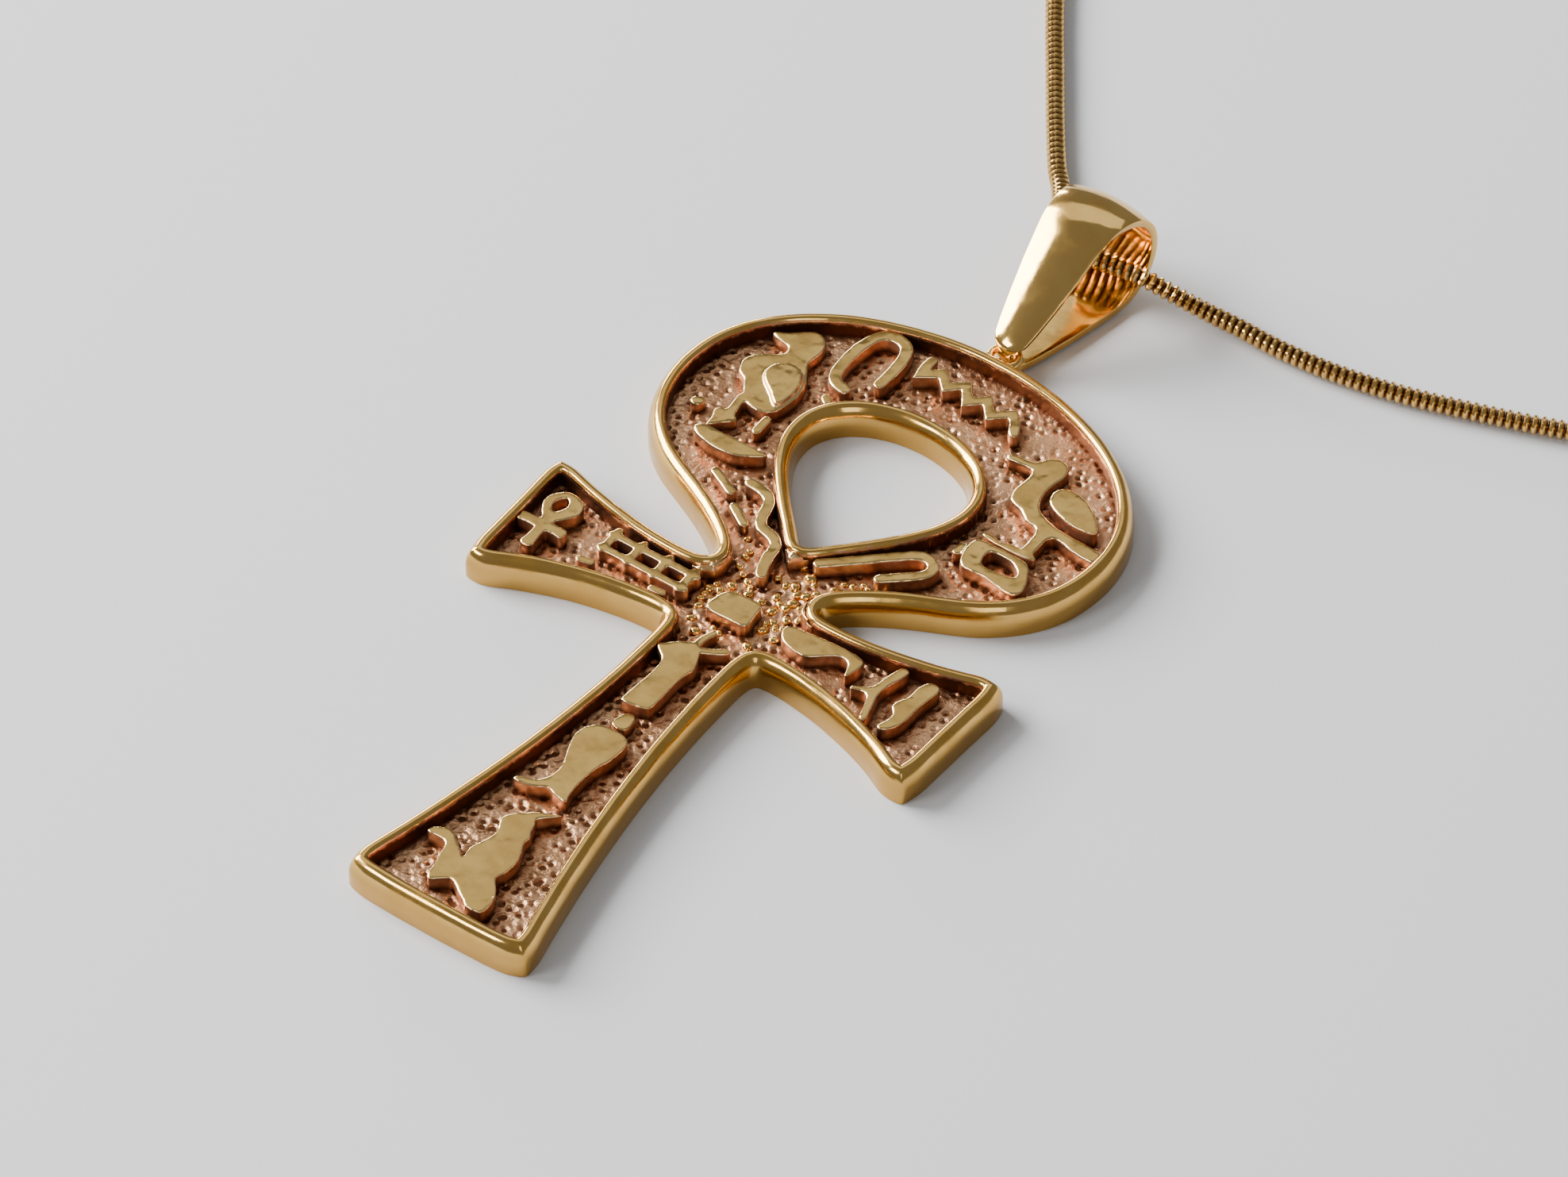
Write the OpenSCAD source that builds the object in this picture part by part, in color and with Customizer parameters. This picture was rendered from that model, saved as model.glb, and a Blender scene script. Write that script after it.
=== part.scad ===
/* [Ankh] */
// Height of the loop's top above the middle of the arms, at the rim's crest
loop_h = 22; // [19:0.5:28]
// Width of the loop across the rim's crest
loop_w = 24.8; // [22:0.2:32]
// Span of the arms from tip to tip, at the rim's crest
arm_span = 26; // [24:0.5:34]
// Height of the arms at their flared ends
tip_h = 7.8; // [6.4:0.2:10]
// Height of the arms beside the stem
arm_h = 3.6; // [3:0.1:4.6]
// Length of the stem below the middle of the arms
stem_h = 23; // [20:0.5:30]
// Width of the stem where it leaves the arms
stem_w = 4.4; // [4:0.1:6]
// Width of the stem's foot
foot_w = 10; // [8:0.2:13]
// Width of the opening inside the loop, at the crest of its rim
eye_w = 10.1; // [8:0.1:12]
// Height of the opening inside the loop
eye_h = 10.9; // [9:0.1:12]
// Height of the opening's lower point above the middle of the arms
eye_y = 5.3; // [4.8:0.1:6]

/* [Relief] */
// Thickness of the plate behind the figures
plate_t = 0.8; // [0.6:0.1:1.2]
// Width of the rim
rim_w = 0.9; // [0.7:0.05:1.1]
// Height of the rim's crest above the back
rim_h = 1.8; // [1.5:0.1:2.4]
// Height of the figures above the plate
relief_h = 0.8; // [0.4:0.05:0.9]
// Height of a raised wing above its bird
wing_h = 0.25; // [0.1:0.05:0.4]
// Width of the strokes of the drawn signs
stroke_w = 0.62; // [0.4:0.02:0.8]

/* [Bail] */
// Inner diameter of the ring on top of the loop
ring_in = 1; // [0.9:0.05:1.4]
// Wire of that ring
ring_wire = 0.45; // [0.35:0.05:0.6]
// Length of the bail
bail_l = 9.8; // [9:0.1:12]
// Height of the bail across its fold
bail_h = 5.7; // [5:0.1:6.5]
// Width of the bail at its fold
bail_w = 4.4; // [3.6:0.1:6]
// Thickness of the bail's strip
bail_t = 0.42; // [0.3:0.02:0.5]
// How far the bail leans to the right, in degrees
bail_lean = 2.5; // [0:0.5:4]

/* [Chain] */
// Thickness of the chain
chain_d = 1; // [0.8:0.05:1.1]
// Length of the clasp
clasp_l = 12; // [9:0.5:16]
// Thickness of the clasp
clasp_d = 2.8; // [2:0.1:4]

/* [Hidden] */
$fn = 32;

// Clearance between the bail's strip and the ring that holds it
play = 0.15;
// Clearance under the bail's fold
fold_lift = 0.1;
// Small step that keeps hidden faces of joined solids apart
sliver = 0.03;
gold = "#d8a94e";
bright_gold = "#e6bd62";

// Middle of the ring's wire, seen from the side
ring_r = (ring_in + ring_wire) / 2;
rim_edge = loop_h + rim_w / 2;
ring_y = rim_edge + sliver + ring_in / 2;
ring_z = plate_t + 0.15;
// Centre of the bend that passes through the ring
foot_y = ring_y + ring_r;
foot_in = ring_wire / 2 + play;
foot_r = foot_in + bail_t;
// Centre of the fold that the chain lies in
fold_r = bail_h / 2;
fold_y = foot_y - foot_r + bail_l - fold_r;
fold_z = fold_r + fold_lift;

// Middle of the clasp, and how far from it the chain starts and ends
clasp_at = [30, 193, clasp_d / 2];
chain_off = [clasp_l / 2 + play, 0, 0];

// Route of the chain's middle, from the clasp round by the right to the bail and back by the left
CHAIN_ROUTE = [
    clasp_at + chain_off, [40.5, 192.6, 1], [46, 191, 0.52], [57, 186, 0.52], [69, 177, 0.52],
    [80.5, 163.5, 0.52], [88, 146, 0.52], [91, 126.5, 0.52], [89.5, 106, 0.52], [83, 86.5, 0.52],
    [72, 69.5, 0.52], [57, 55, 0.52], [42, 44, 0.52], [29, 37, 0.52], [20.5, 33.7, 0.52],
    [14.5, 32.2, 0.52], [10.5, 31.9, 0.52], [7.5, 32, 0.55], [5.3, 31.9, 0.7], [3.8, 31.55, 1.2],
    [2.5, 31.15, 1.75], [1.2, 31, 1.75], [0, 30.9, 1.7], [-1.3, 30.9, 1.7], [-2.5, 31.25, 1.75],
    [-3.3, 32.35, 1.6], [-3.9, 33.6, 1.2], [-4.8, 35, 0.75], [-6, 36.45, 0.53], [-7.5, 38.5, 0.52],
    [-10, 42.1, 0.52], [-14, 48, 0.52], [-20, 58, 0.52], [-27, 72, 0.52], [-33, 90, 0.52],
    [-35, 110, 0.52], [-32.5, 131, 0.52], [-25, 150.5, 0.52], [-13, 168, 0.52], [2, 182.5, 0.52],
    [13, 190, 0.52], [19.5, 192.6, 1], clasp_at - chain_off
];
// Longest step between two rings of the chain's tube
chain_step = 8;
chain_sides = 8;

function mix(a, b, t) = a + (b - a) * t;
function unit(v) = v / norm(v);
function flipped(pts) = [for (i = [len(pts) - 1:-1:0]) pts[i]];
function mirrored(pts) = [for (p = flipped(pts)) [-p.x, p.y]];

// Points of one Bezier leg without its last one, n steps long
function leg(p, n) = [
    for (i = [0:n - 1])
        let (t = i / n, s = 1 - t)
        s * s * s * p[0] + 3 * s * s * t * p[1] + 3 * s * t * t * p[2] + t * t * t * p[3]
];

// Point on the smooth curve from b to c, with a before and d after them
function between(a, b, c, d, t) =
    ((2 * b) + (c - a) * t + (2 * a - 5 * b + 4 * c - d) * t * t + (3 * b - a - 3 * c + d) * t * t * t) / 2;

// Closed smooth outline through the points, n steps between two of them
function smooth(pts, n = 2) = let (m = len(pts)) [
    for (i = [0:m - 1])
        for (k = [0:n - 1])
            between(pts[(i + m - 1) % m], pts[i], pts[(i + 1) % m], pts[(i + 2) % m], k / n)
];

// Direction to the right of the way at each point of a closed outline, longer where it turns
function mitres(pts) = let (m = len(pts)) [
    for (i = [0:m - 1])
        let (
            a = unit(pts[i] - pts[(i + m - 1) % m]),
            b = unit(pts[(i + 1) % m] - pts[i]),
            c = unit(a + b)
        )
        [c.y, -c.x] / max(0.6, a * c)
];
function offset_by(pts, u) = let (n = mitres(pts)) [for (i = [0:len(pts) - 1]) pts[i] + u * n[i]];

// Half of the rim's crest line, from the loop's top clockwise to the middle of the foot
tip_x = arm_span / 2;
tip_top = 0.49 * tip_h;
tip_low = -0.51 * tip_h;
arm_top = 0.63 * arm_h;
arm_low = -0.37 * arm_h;
corner_r = 0.9;
function on_crest(x, y) = [x * loop_w / 2, y * loop_h];
throat = [0.715 * stem_w, 1.03 * arm_h];
crotch = [0.73 * stem_w, arm_top];
loop_half = concat(
    leg([on_crest(0, 1), on_crest(0.51, 1), on_crest(1, 0.845), on_crest(1, 0.605)], 12),
    leg([on_crest(1, 0.605), on_crest(1, 0.436), on_crest(0.826, 0.35), on_crest(0.648, 0.305)], 9),
    leg([on_crest(0.648, 0.305), on_crest(0.5, 0.268), on_crest(0.348, 0.223), throat], 6),
    leg([throat, [0.59 * stem_w, 0.875 * arm_h], [0.59 * stem_w, 0.65 * arm_h], crotch], 4)
);
tip_a = [tip_x, tip_top];
tip_b = [tip_x * 0.977, tip_low];
arm_half = concat(
    leg([crotch, [0.485 * tip_x, 0.55 * arm_h], [0.738 * tip_x, 0.355 * tip_h],
        tip_a + [-corner_r, -0.3 * corner_r]], 8),
    leg([tip_a + [-corner_r, -0.3 * corner_r], tip_a + [-0.4 * corner_r, -0.1 * corner_r],
        tip_a + [0, -0.4 * corner_r], tip_a + [-0.03 * corner_r, -corner_r]], 3),
    leg([tip_a + [-0.03 * corner_r, -corner_r], mix(tip_a, tip_b, 0.35), mix(tip_a, tip_b, 0.65),
        tip_b + [0.03 * corner_r, corner_r]], 4),
    leg([tip_b + [0.03 * corner_r, corner_r], tip_b + [0, 0.4 * corner_r],
        tip_b + [-0.4 * corner_r, 0.15 * corner_r], tip_b + [-corner_r, 0.4 * corner_r]], 3),
    leg([tip_b + [-corner_r, 0.4 * corner_r], [0.738 * tip_x, 0.6 * tip_low], [0.475 * tip_x, arm_low],
        [0.5 * stem_w + corner_r, arm_low]], 8),
    leg([[0.5 * stem_w + corner_r, arm_low], [0.5 * stem_w + 0.4 * corner_r, arm_low],
        [0.5 * stem_w, arm_low - 0.4 * corner_r], [0.5 * stem_w, arm_low - corner_r]], 4)
);
foot = [foot_w / 2, -stem_h];
stem_half = concat(
    leg([[0.5 * stem_w, arm_low - corner_r], [0.455 * stem_w, -0.37 * stem_h],
        [0.31 * foot_w, -0.674 * stem_h], foot + [-0.3 * corner_r, corner_r]], 14),
    leg([foot + [-0.3 * corner_r, corner_r], foot + [-0.1 * corner_r, 0.4 * corner_r],
        foot + [-0.4 * corner_r, 0], foot + [-corner_r, 0]], 3),
    leg([foot + [-corner_r, 0], [0.3 * foot_w, -stem_h - 0.1], [0.1 * foot_w, -stem_h - 0.12],
        [0, -stem_h - 0.12]], 4)
);
half_crest = concat(loop_half, arm_half, stem_half);
outer_crest = concat(
    half_crest,
    [[0, -stem_h - 0.12]],
    mirrored([for (i = [1:len(half_crest) - 1]) half_crest[i]])
);

// Half of the opening's crest line, from its top clockwise to its lower point
function on_eye(x, y) = [x * eye_w / 2, eye_y + y * eye_h];
half_eye = concat(
    leg([on_eye(0, 1), on_eye(0.574, 1), on_eye(1, 0.857), on_eye(1, 0.664)], 9),
    leg([on_eye(1, 0.664), on_eye(1, 0.452), on_eye(0.515, 0.249), on_eye(0, 0)], 9)
);
eye_crest = concat(half_eye, [on_eye(0, 0)], mirrored([for (i = [1:len(half_eye) - 1]) half_eye[i]]));

// Section of the rim: half width of each layer as a share of the rim's, and its top as a share
// of the rim's height
RIM_LAYERS = [[1, 0.8], [0.82, 0.92], [0.46, 1]];
rim_u = rim_w / 2;

// Band of the rim along a closed outline, laid in layers that round its crest
module band(crest) {
    n = len(crest);
    for (i = [0:len(RIM_LAYERS) - 1]) {
        half = RIM_LAYERS[i][0] * rim_u;
        low = i == 0 ? 0.5 * plate_t : (RIM_LAYERS[i - 1][1] - 0.05) * rim_h;
        translate([0, 0, low])
            linear_extrude(RIM_LAYERS[i][1] * rim_h - low)
                polygon(
                    concat(offset_by(crest, -half), offset_by(crest, half)),
                    paths = [[for (k = [0:n - 1]) k], [for (k = [0:n - 1]) n + k]]
                );
    }
}

// The figures are drawn on three grids, and each grid's squares follow the sizes of its own field:
// 24.8 by 22 squares over the loop, 26 over the arms' span, and 10 by 23 over the stem.
function on_loop(p) = [p.x * loop_w / 24.8, p.y * loop_h / 22];
function on_arm(p) = [
    p.x * arm_span / 26,
    p.y * mix(arm_h / 3.6, tip_h / 7.8, min(1, abs(p.x) / 13))
];
function on_stem(p) = [
    p.x * mix(stem_w / 4.4, foot_w / 10, min(1, abs(p.y) / 23)),
    p.y * stem_h / 23
];
function loop_pts(pts) = [for (p = pts) on_loop(p)];
function arm_pts(pts) = [for (p = pts) on_arm(p)];
function stem_pts(pts) = [for (p = pts) on_stem(p)];

// Flat raised figure with upright sides, rooted in the plate
module figure(pts, up = 0) {
    translate([0, 0, plate_t / 2]) linear_extrude(plate_t / 2 + relief_h + up) polygon(pts);
}

// Open smooth line through the points, n steps between two of them
function bend(pts, n = 3) = let (m = len(pts)) concat(
    [
        for (i = [0:m - 2])
            for (k = [0:n - 1])
                between(pts[max(i - 1, 0)], pts[i], pts[i + 1], pts[min(i + 2, m - 1)], k / n)
    ],
    [pts[m - 1]]
);

// Stroke of even width along an open line, with round ends
function stroke(pts, w = stroke_w) = let (
        m = len(pts),
        way = [for (i = [0:m - 1]) unit(pts[min(i + 1, m - 1)] - pts[max(i - 1, 0)])],
        turn = [
            for (i = [0:m - 1]) (i == 0 || i == m - 1) ? 1 : max(0.6, unit(pts[i + 1] - pts[i]) * way[i])
        ],
        side = [for (i = [0:m - 1]) [way[i].y, -way[i].x] * w / 2 / turn[i]]
    )
    concat(
        [for (i = [0:m - 1]) pts[i] + side[i]],
        [for (a = [45, 90, 135]) pts[m - 1] + cos(a) * side[m - 1] + sin(a) * way[m - 1] * w / 2],
        [for (i = [m - 1:-1:0]) pts[i] - side[i]],
        [for (a = [45, 90, 135]) pts[0] - cos(a) * side[0] - sin(a) * way[0] * w / 2]
    );

// Sign on the loop: zigzag water line under the top
WATER = [
    [-2.4, 20.2], [-2.3, 19.05], [-1.45, 19.75], [-0.75, 19.05], [0, 19.75], [0.7, 18.8], [1.4, 19.5],
    [2.15, 18.65], [3, 19.4], [3.8, 18.3]
];
// Sign on the loop: tall arch with a foot, left of the water line
ARCH = [
    [-4.7, 16], [-5.4, 16.2], [-5.8, 16.9], [-5.9, 18.4], [-5.7, 19.7], [-5.2, 20.4], [-4.4, 20.45],
    [-3.8, 20], [-3.55, 18.8], [-3.55, 17.3]
];
// Left bird: head and body in one outline, then its wing, its claws and the post behind it
BIRD_LEFT = [
    [-10.1, 17.35], [-9.4, 17.75], [-8.9, 18.2], [-8.3, 18.6], [-7.7, 18.5], [-7.3, 18], [-7.2, 17.3],
    [-7.3, 16.6], [-7, 16], [-6.6, 15.4], [-6.35, 14.6], [-6.35, 13.7], [-6.6, 12.8], [-7.1, 12.4],
    [-7.8, 12.35], [-8.4, 12.6], [-8.9, 13.2], [-9.3, 13.8], [-9.8, 14.1], [-10.1, 14.8], [-9.9, 15.5],
    [-9.2, 16.05], [-8.7, 16.5], [-8.9, 16.95], [-9.5, 17.05]
];
WING_LEFT = [
    [-8.6, 14.8], [-8.3, 14.2], [-7.5, 13.6], [-6.8, 13], [-6.6, 13.4], [-6.5, 14], [-6.6, 14.8],
    [-6.9, 15.4], [-7.35, 15.75], [-8, 15.75], [-8.5, 15.35]
];
CLAWS_LEFT = [
    [[-10.6, 11.1], [-10.5, 11.5], [-10, 11.6], [-9.85, 11.2], [-10.2, 10.9]],
    [[-9.2, 11.2], [-9, 11.55], [-8.3, 11.55], [-7.8, 11.2], [-8.3, 10.7], [-8.9, 10.1], [-9, 10.7]]
];
// Right bird: head and body down to the leg, then its wing and its claws
BIRD_RIGHT = [
    [4.3, 17], [4.7, 17.25], [5.7, 17.35], [6, 17.85], [6.5, 18.2], [7.05, 18.15], [7.4, 17.8],
    [7.5, 17.2], [7.35, 16.5], [7.35, 15.7], [7.6, 15], [8.1, 14.6], [9, 14.25], [9.7, 14.15],
    [11.3, 14.1], [12, 13.9], [12.1, 13.5], [11.9, 13.2], [10.5, 13.3], [9.6, 13.55], [9.2, 13.2],
    [9.2, 12], [8.55, 12], [8.5, 13.2], [8.2, 13.65], [7.6, 13.75], [7, 14.2], [6.2, 14.5],
    [5.95, 15.3], [6.05, 16.2], [5.9, 16.8], [5.2, 16.8], [4.5, 16.75]
];
WING_RIGHT = [
    [7.75, 15.9], [7.95, 15.3], [8.4, 14.95], [9.2, 14.65], [10, 14.5], [10.9, 14.6], [11.05, 14.9],
    [10.6, 15.5], [10, 16], [9.3, 16.4], [8.5, 16.55], [7.95, 16.35]
];
CLAWS_RIGHT = [
    [6.4, 11.75], [6.6, 12.05], [7.1, 12], [7.5, 11.85], [7.9, 12.05], [8.5, 12.1], [9.3, 12.05],
    [9.5, 11.75], [8.6, 11.6], [7.4, 11.6]
];
// Looped sign under the right bird, and the pit inside it
LOOP_SIGN = [
    [6.5, 11.2], [7.2, 11.35], [8.4, 11.35], [9.4, 11.3], [10, 10.5], [10.35, 9.6], [10.1, 9.1],
    [9.4, 9.05], [8.2, 9.3], [7, 9.25], [6.55, 9.8], [6.4, 10.5]
];
LOOP_PIT = [[7.5, 10.85], [8.2, 10.95], [8.9, 10.85], [9.5, 10.3], [9.2, 10], [8.2, 9.9], [7.6, 10.05]];
// Folded cloth, right of the opening's lower point
CLOTH = [
    [1.3, 5.4], [3, 6.95], [4.6, 8.45], [5.4, 8.75], [6, 8.3], [5.8, 7.65], [5, 6.9], [4.25, 6.25]
];
// Bowl at the left, seen from the side
BOWL = [
    [-9.2, 9.7], [-8.7, 10], [-7.5, 10.02], [-6.3, 10], [-5.1, 10], [-5.2, 9.7], [-5.8, 9.3],
    [-6.4, 9], [-7.3, 8.9], [-8.2, 9], [-9, 9.3]
];
// Snake that runs down beside the opening to the throat
SNAKE = [
    [-4.6, 7.95], [-3.9, 7.9], [-3.1, 7.5], [-2.8, 6.4], [-2.35, 5.8], [-1.6, 5.6], [-1.1, 5.2],
    [-0.95, 4.4], [-0.7, 3.6], [-0.5, 3.2]
];
// Short strokes that fill the loop's field
LOOP_TICKS = [
    [[-6.6, 7.8], [-5.1, 7.05]], [[-4.4, 6.3], [-3.3, 5.6]], [[-6.65, 12.1], [-6.6, 11.2]],
    [[-8.6, 12.7], [-8.35, 11.3]], [[-5.2, 15.1], [-5, 14.9]], [[6.2, 10.6], [6.1, 10.1]]
];

// Small cross with a looped head, on the left arm, and the hole of its loop
SMALL_CROSS = [
    [-11, 2.3], [-10.4, 2.1], [-10, 1.6], [-10.05, 1], [-10.5, 0.4], [-10.7, 0.1], [-9.8, 0.05],
    [-9.7, -0.3], [-9.8, -0.6], [-10.7, -0.55], [-10.55, -1.7], [-10.9, -1.9], [-11.3, -1.75],
    [-11.25, -0.6], [-12.3, -0.65], [-12.45, -0.35], [-12.3, 0], [-11.4, 0.05], [-11.7, 0.5],
    [-12, 1.1], [-11.9, 1.7], [-11.5, 2.15]
];
SMALL_CROSS_HOLE = [[-11.15, 1.85], [-10.85, 1.6], [-10.8, 1.2], [-11.1, 0.75], [-11.4, 1], [-11.5, 1.4]];
// Ladder beside it: ends and heights of its two rails, ends and places of its rungs
RAIL_ENDS = [-7.9, -2.9];
RAILS = [0.2, 1.2];
RUNG_ENDS = [0.1, 1.55];
RUNGS = [-7.75, -6.25, -4.7, -3.15];
// Blade with a hooked end, on the right arm
BLADE = [
    [2.5, 1.05], [3.5, 1.3], [5, 1.45], [6.4, 1.45], [6.9, 1.25], [7, 0.9], [6.9, 0.4], [6.75, -0.05],
    [6.6, 0.1], [6.4, 0.65], [6, 0.9], [5.6, 0.8], [5.2, 0.5], [4.8, 0.15], [4.4, -0.1], [3.8, -0.1],
    [3.2, 0.05], [2.7, 0.35]
];
// Walking legs next to the blade
LEGS = [
    [8.6, 2], [9.1, 1.95], [8.95, 1.2], [8.75, 0.5], [8.7, 0], [8.85, -0.6], [9.05, -1.3], [9.15, -1.9],
    [8.85, -1.95], [8.6, -1.2], [8.3, -0.5], [7.9, -0.35], [7.4, -0.55], [7.35, -0.3], [7.9, 0],
    [8.2, 0.3], [8.3, 1]
];
// Reed leaf at the tip of the right arm
REED = [
    [10.5, 2.05], [10.85, 1.95], [10.95, 1.6], [10.85, 1], [10.75, 0.3], [10.75, -0.5], [10.65, -1.2],
    [10.3, -1.75], [10, -1.9], [9.8, -1.75], [9.95, -1.3], [10, -0.75], [9.65, -0.35], [9.65, 0.1],
    [9.9, 0.5], [9.95, 1], [10, 1.6], [10.2, 1.95]
];
// Cushion where the arms cross the stem
CUSHION = [
    [-1.35, -0.15], [-1.4, 0.8], [-1, 1.4], [0, 1.55], [0.75, 1.5], [0.9, 0.8], [0.95, -0.1], [0, -0.2]
];
ARM_TICKS = [[[-8.3, -0.95], [-7.7, -0.85]], [[-4.3, -0.55], [-3.7, -0.5]]];

// Slab with horns, at the top of the stem
SLAB = [
    [-1, -7.3], [-0.9, -7.5], [-0.3, -7.45], [0.5, -7.25], [0.55, -6.5], [0.55, -5.5], [0.55, -4.7],
    [0.65, -4.2], [0.7, -3.9], [0.55, -3.4], [0.3, -2.9], [0, -2.5], [-0.5, -2.45], [-1, -2.75],
    [-1.65, -3.35], [-1.7, -3.6], [-1.1, -4.05], [-0.9, -4.5], [-0.9, -5.5], [-0.95, -6.5]
];
HORNS = [[[0.1, -2.65], [0.5, -2.45], [0.85, -2.25], [1.2, -2]], [[-0.25, -2.6], [-0.2, -1.9], [0, -1.35]]];
POST = [[-0.45, -8.9], [-0.5, -8.2], [-0.2, -7.8], [0.2, -7.85], [0.35, -8.3], [0.3, -8.9]];
// Human leg, in the middle of the stem
LEG = [
    [-0.9, -9.45], [-0.4, -9.3], [0.3, -9.25], [0.8, -9.35], [1.05, -9.65], [1.1, -10.2], [1.05, -11],
    [0.85, -11.6], [0.75, -12.4], [0.75, -13.2], [0.85, -13.9], [0.95, -14.35], [0.5, -14.3],
    [0.1, -14.2], [-0.3, -14.05], [-0.7, -14.3], [-1.2, -14.5], [-1.9, -14.55], [-2, -14.4],
    [-1.8, -14.2], [-1.3, -14.05], [-0.9, -13.8], [-0.65, -13.3], [-0.62, -12.6], [-0.85, -12],
    [-1.15, -11.3], [-1.35, -10.6], [-1.3, -10.1], [-1.15, -9.7]
];
// Seated cat at the foot of the stem
CAT = [
    [0.5, -16], [0.65, -16.2], [0.8, -16.8], [1, -17.1], [0.95, -17.5], [1.2, -18], [1.4, -18.5],
    [1.45, -19], [1.4, -19.6], [1.2, -20], [1.6, -20.5], [1.95, -21], [2.05, -21.5], [2.05, -22],
    [1.85, -22.25], [1.15, -22.25], [0.8, -22], [0.3, -21.7], [-0.2, -21.35], [-0.5, -21.3],
    [-0.9, -21.6], [-1.2, -21.85], [-1.4, -21.8], [-1.6, -21.4], [-1.65, -20.9], [-1.85, -20.3],
    [-2, -19.65], [-2.5, -19.5], [-3.1, -19.55], [-3.2, -19.35], [-3, -19.05], [-2.5, -18.85],
    [-2, -18.95], [-1.5, -19.3], [-1, -19.75], [-0.8, -19.8], [-0.93, -19.2], [-0.75, -18.6],
    [-0.55, -18], [-0.6, -17.5], [-0.85, -17], [-0.85, -16.7], [-0.6, -16.3], [-0.1, -15.9],
    [0.1, -15.65], [0.9, -15.3], [1.4, -15.1]
];

// Outline of the opening that is cut through plate and figures
eye_cut = offset_by(eye_crest, rim_u);

module plate() {
    linear_extrude(plate_t) polygon(offset_by(outer_crest, -rim_u));
}

module pit(pts) {
    translate([0, 0, plate_t]) linear_extrude(2 * rim_h) polygon(pts);
}

module loop_figures() {
    body = -0.12;
    figure(stroke(bend(loop_pts(WATER), 2), 0.95 * stroke_w));
    figure(stroke(bend(loop_pts(ARCH)), 1.1 * stroke_w));
    figure(smooth(loop_pts(BIRD_LEFT)), body);
    figure(smooth(loop_pts(WING_LEFT)), body + wing_h);
    figure(smooth(loop_pts(BIRD_RIGHT)), body);
    figure(smooth(loop_pts(WING_RIGHT)), body + wing_h);
    for (c = CLAWS_LEFT) figure(smooth(loop_pts(c)), body - 0.05);
    figure(smooth(loop_pts(CLAWS_RIGHT)), body - 0.05);
    difference() {
        figure(smooth(loop_pts(LOOP_SIGN)));
        pit(smooth(loop_pts(LOOP_PIT)));
    }
    figure(stroke(bend(loop_pts(CLOTH), 2), 0.98 * stroke_w));
    figure(smooth(loop_pts(BOWL)));
    figure(stroke(bend(loop_pts(SNAKE), 2)));
    for (t = LOOP_TICKS) figure(stroke(loop_pts(t), 0.85 * stroke_w), body - 0.02);
}

module arm_figures() {
    difference() {
        figure(smooth(arm_pts(SMALL_CROSS)));
        pit(smooth(arm_pts(SMALL_CROSS_HOLE)));
    }
    for (y = RAILS) figure(stroke(arm_pts([[RAIL_ENDS[0], y], [RAIL_ENDS[1], y]]), 0.7 * stroke_w));
    for (x = RUNGS) figure(stroke(arm_pts([[x, RUNG_ENDS[0]], [x, RUNG_ENDS[1]]]), 0.75 * stroke_w), -0.02);
    figure(smooth(arm_pts(BLADE)));
    figure(smooth(arm_pts(LEGS)));
    figure(smooth(arm_pts(REED)));
    figure(smooth(arm_pts(CUSHION), 3), -0.02);
    for (t = ARM_TICKS) figure(stroke(arm_pts(t), 0.7 * stroke_w), -0.15);
}

module stem_figures() {
    figure(smooth(stem_pts(SLAB)));
    for (h = HORNS) figure(stroke(bend(stem_pts(h)), 0.65 * stroke_w), -0.04);
    figure(smooth(stem_pts(POST)), -0.2);
    figure(smooth(stem_pts(LEG)));
    figure(smooth(stem_pts(CAT)));
}

module ring() {
    translate([0, ring_y, ring_z])
        rotate_extrude($fn = 16)
            translate([ring_r, 0]) circle(d = ring_wire, $fn = 16);
}

module ankh() {
    color(gold) {
        difference() {
            union() {
                plate();
                loop_figures();
                arm_figures();
                stem_figures();
            }
            translate([0, 0, -1]) linear_extrude(3 * rim_h) polygon(eye_cut);
        }
        band(outer_crest);
        band(eye_crest);
        ring();
    }
}

// The bail seen from the side, y along it and z up: a bend round the ring and a wide fold
fold_gap = [fold_y - foot_y, fold_z - ring_z];
function drop(foot_radius, fold_radius) = let (
        tilt = atan2(fold_gap.y, fold_gap.x),
        open = acos((foot_radius - fold_radius) / norm(fold_gap))
    )
    concat(
        [for (i = [0:24]) let (a = tilt - open + 2 * open * i / 24)
            [fold_y, fold_z] + fold_radius * [cos(a), sin(a)]],
        [for (i = [0:12]) let (a = tilt + open + (360 - 2 * open) * i / 12)
            [foot_y, ring_z] + foot_radius * [cos(a), sin(a)]]
    );

// Half widths of the bail seen from above: share of its length, share of its width
BAIL_PLAN = [
    [0, 0.02], [0.012, 0.11], [0.035, 0.165], [0.07, 0.2], [0.13, 0.24], [0.24, 0.295], [0.4, 0.365],
    [0.6, 0.43], [0.8, 0.48], [1.02, 0.505]
];
bail_start = foot_y - foot_r;

module bail() {
    side = bend([for (p = BAIL_PLAN) [p[1] * bail_w, bail_start + p[0] * bail_l]], 3);
    color(bright_gold)
        translate([0, foot_y, 0]) rotate([0, 0, -bail_lean]) translate([0, -foot_y, 0])
            difference() {
                intersection() {
                    rotate([90, 0, 90])
                        translate([0, 0, -bail_w])
                            linear_extrude(2 * bail_w) polygon(drop(foot_r, fold_r));
                    linear_extrude(2 * bail_h) polygon(concat(side, mirrored(side)));
                }
                rotate([90, 0, 90])
                    translate([0, 0, -2 * bail_w])
                        linear_extrude(4 * bail_w) polygon(drop(foot_in, fold_r - bail_t));
                for (s = [-1, 1])
                    translate([s * (bail_w / 2 + 0.45 * ring_wire), foot_y - foot_r / 2, ring_z])
                        cube([bail_w, 2 * foot_r, 2 * foot_in - sliver], center = true);
            }
}

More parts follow.
